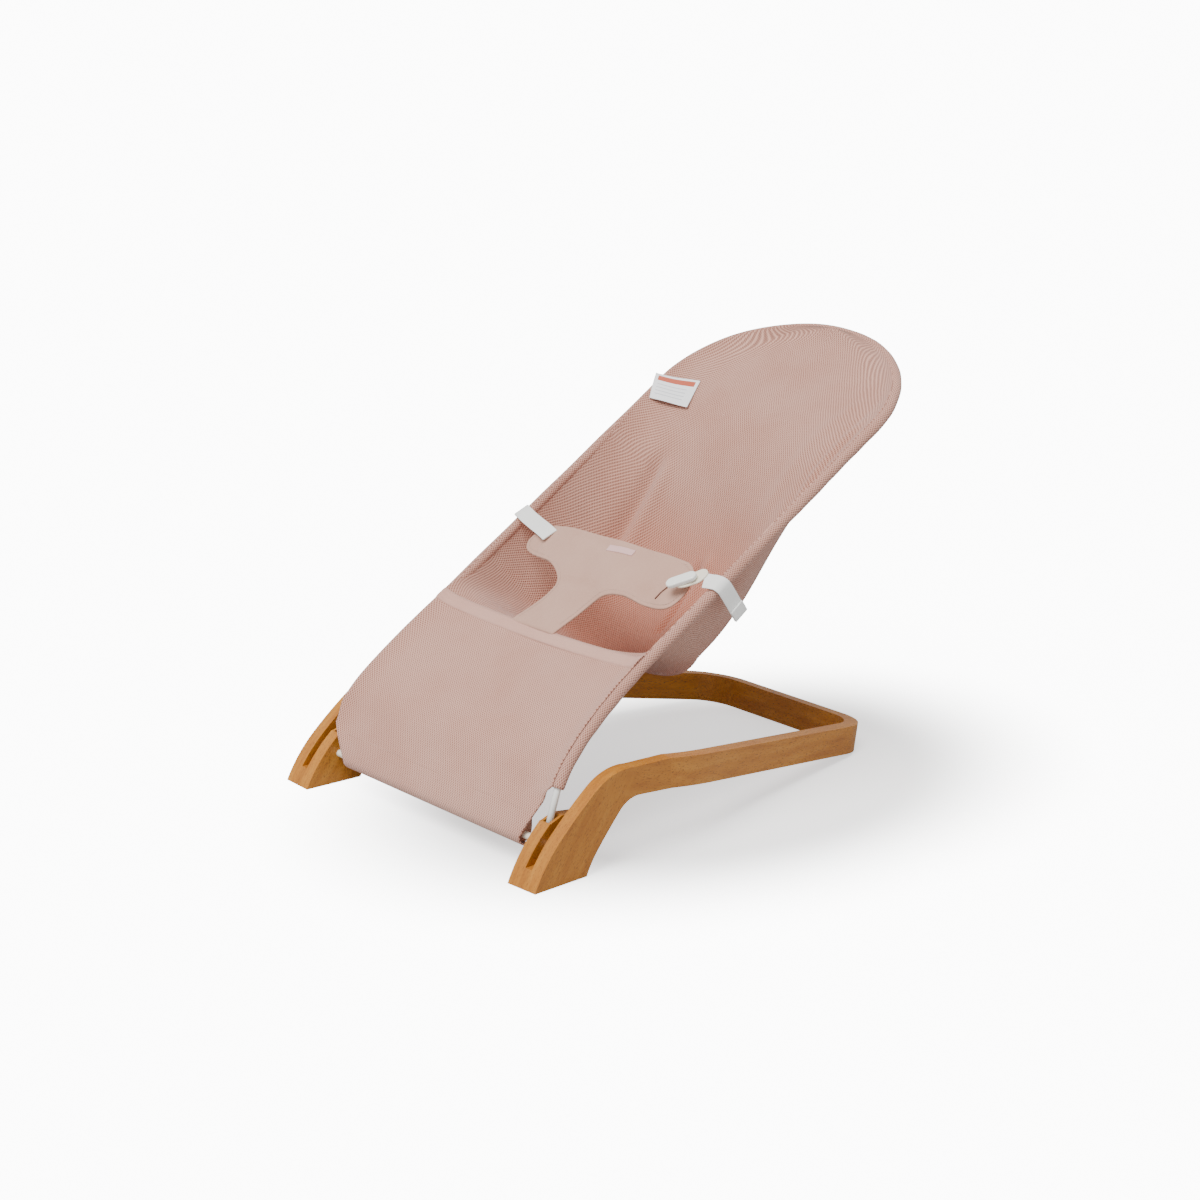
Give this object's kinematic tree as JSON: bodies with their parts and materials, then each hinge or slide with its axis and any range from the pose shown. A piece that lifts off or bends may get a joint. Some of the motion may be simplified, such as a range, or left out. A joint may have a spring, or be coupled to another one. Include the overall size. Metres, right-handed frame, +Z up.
{
  "type": "baby bouncer seat",
  "caption": "Bouncer seat: bentwood base with a sprung steel seat loop, stretched mesh cover, T-shaped harness, webbing straps and a turning toggle.",
  "frame": {"origin": "on the floor, under the middle of the part's overall length and width", "axes": "+Z up, -Y towards the toes of the front legs, +Y towards the head end, +X towards the sitter's left"},
  "size_m": [0.43, 0.63, 0.4605],
  "materials": {
    "wood": "satin clear lacquer",
    "dowel_wood": "bare",
    "rubber": "matt",
    "coated_steel": "gloss white powder coat",
    "nylon": "satin",
    "mesh": "knitted mesh",
    "weave": "plain weave",
    "webbing": "woven webbing",
    "toggle_plastic": "gloss",
    "label": "satin tape",
    "label_pink": "satin tape"
  },
  "bodies": {
    "base": {"rear_loop": "wood", "leg_left": "wood", "leg_right": "wood", "leg_spacer_left": "wood", "leg_spacer_right": "wood", "leg_cheek_left": "wood", "leg_cheek_right": "wood", "joint_dowels_left": "dowel_wood", "joint_dowels_right": "dowel_wood", "foot_pad_left": "rubber", "foot_pad_right": "rubber", "rear_pads": "rubber"},
    "seat": {"cross_rod": "coated_steel", "seat_wire": "coated_steel", "pivot_washers_left": "nylon", "pivot_washers_right": "nylon", "edge_sleeve": "mesh", "hem_sleeve": "mesh", "lower_panel": "mesh", "seat_panel": "mesh", "seam_tape": "weave", "harness": "weave", "strap_left": "webbing", "strap_right": "webbing", "strap_end_right": "toggle_plastic", "toggle_stud": "toggle_plastic", "care_label": "label", "harness_label": "label_pink"},
    "toggle": {"toggle_bar": "toggle_plastic"}
  },
  "joints": [
    {"name": "seat_swing", "type": "hinge", "parent": "base", "child": "seat", "pos_m": [0, -0.272, 0.0336], "axis": [1, 0, 0], "range_deg": [-6, 4], "stiffness_Nm_per_rad": 150, "springref_deg": 1.15},
    {"name": "toggle_turn", "type": "hinge", "parent": "seat", "child": "toggle", "pos_m": [0.139, -0.05355, 0.25608], "axis": [0, -0.521, 0.8536], "range_deg": [-45, 45]}
  ]
}
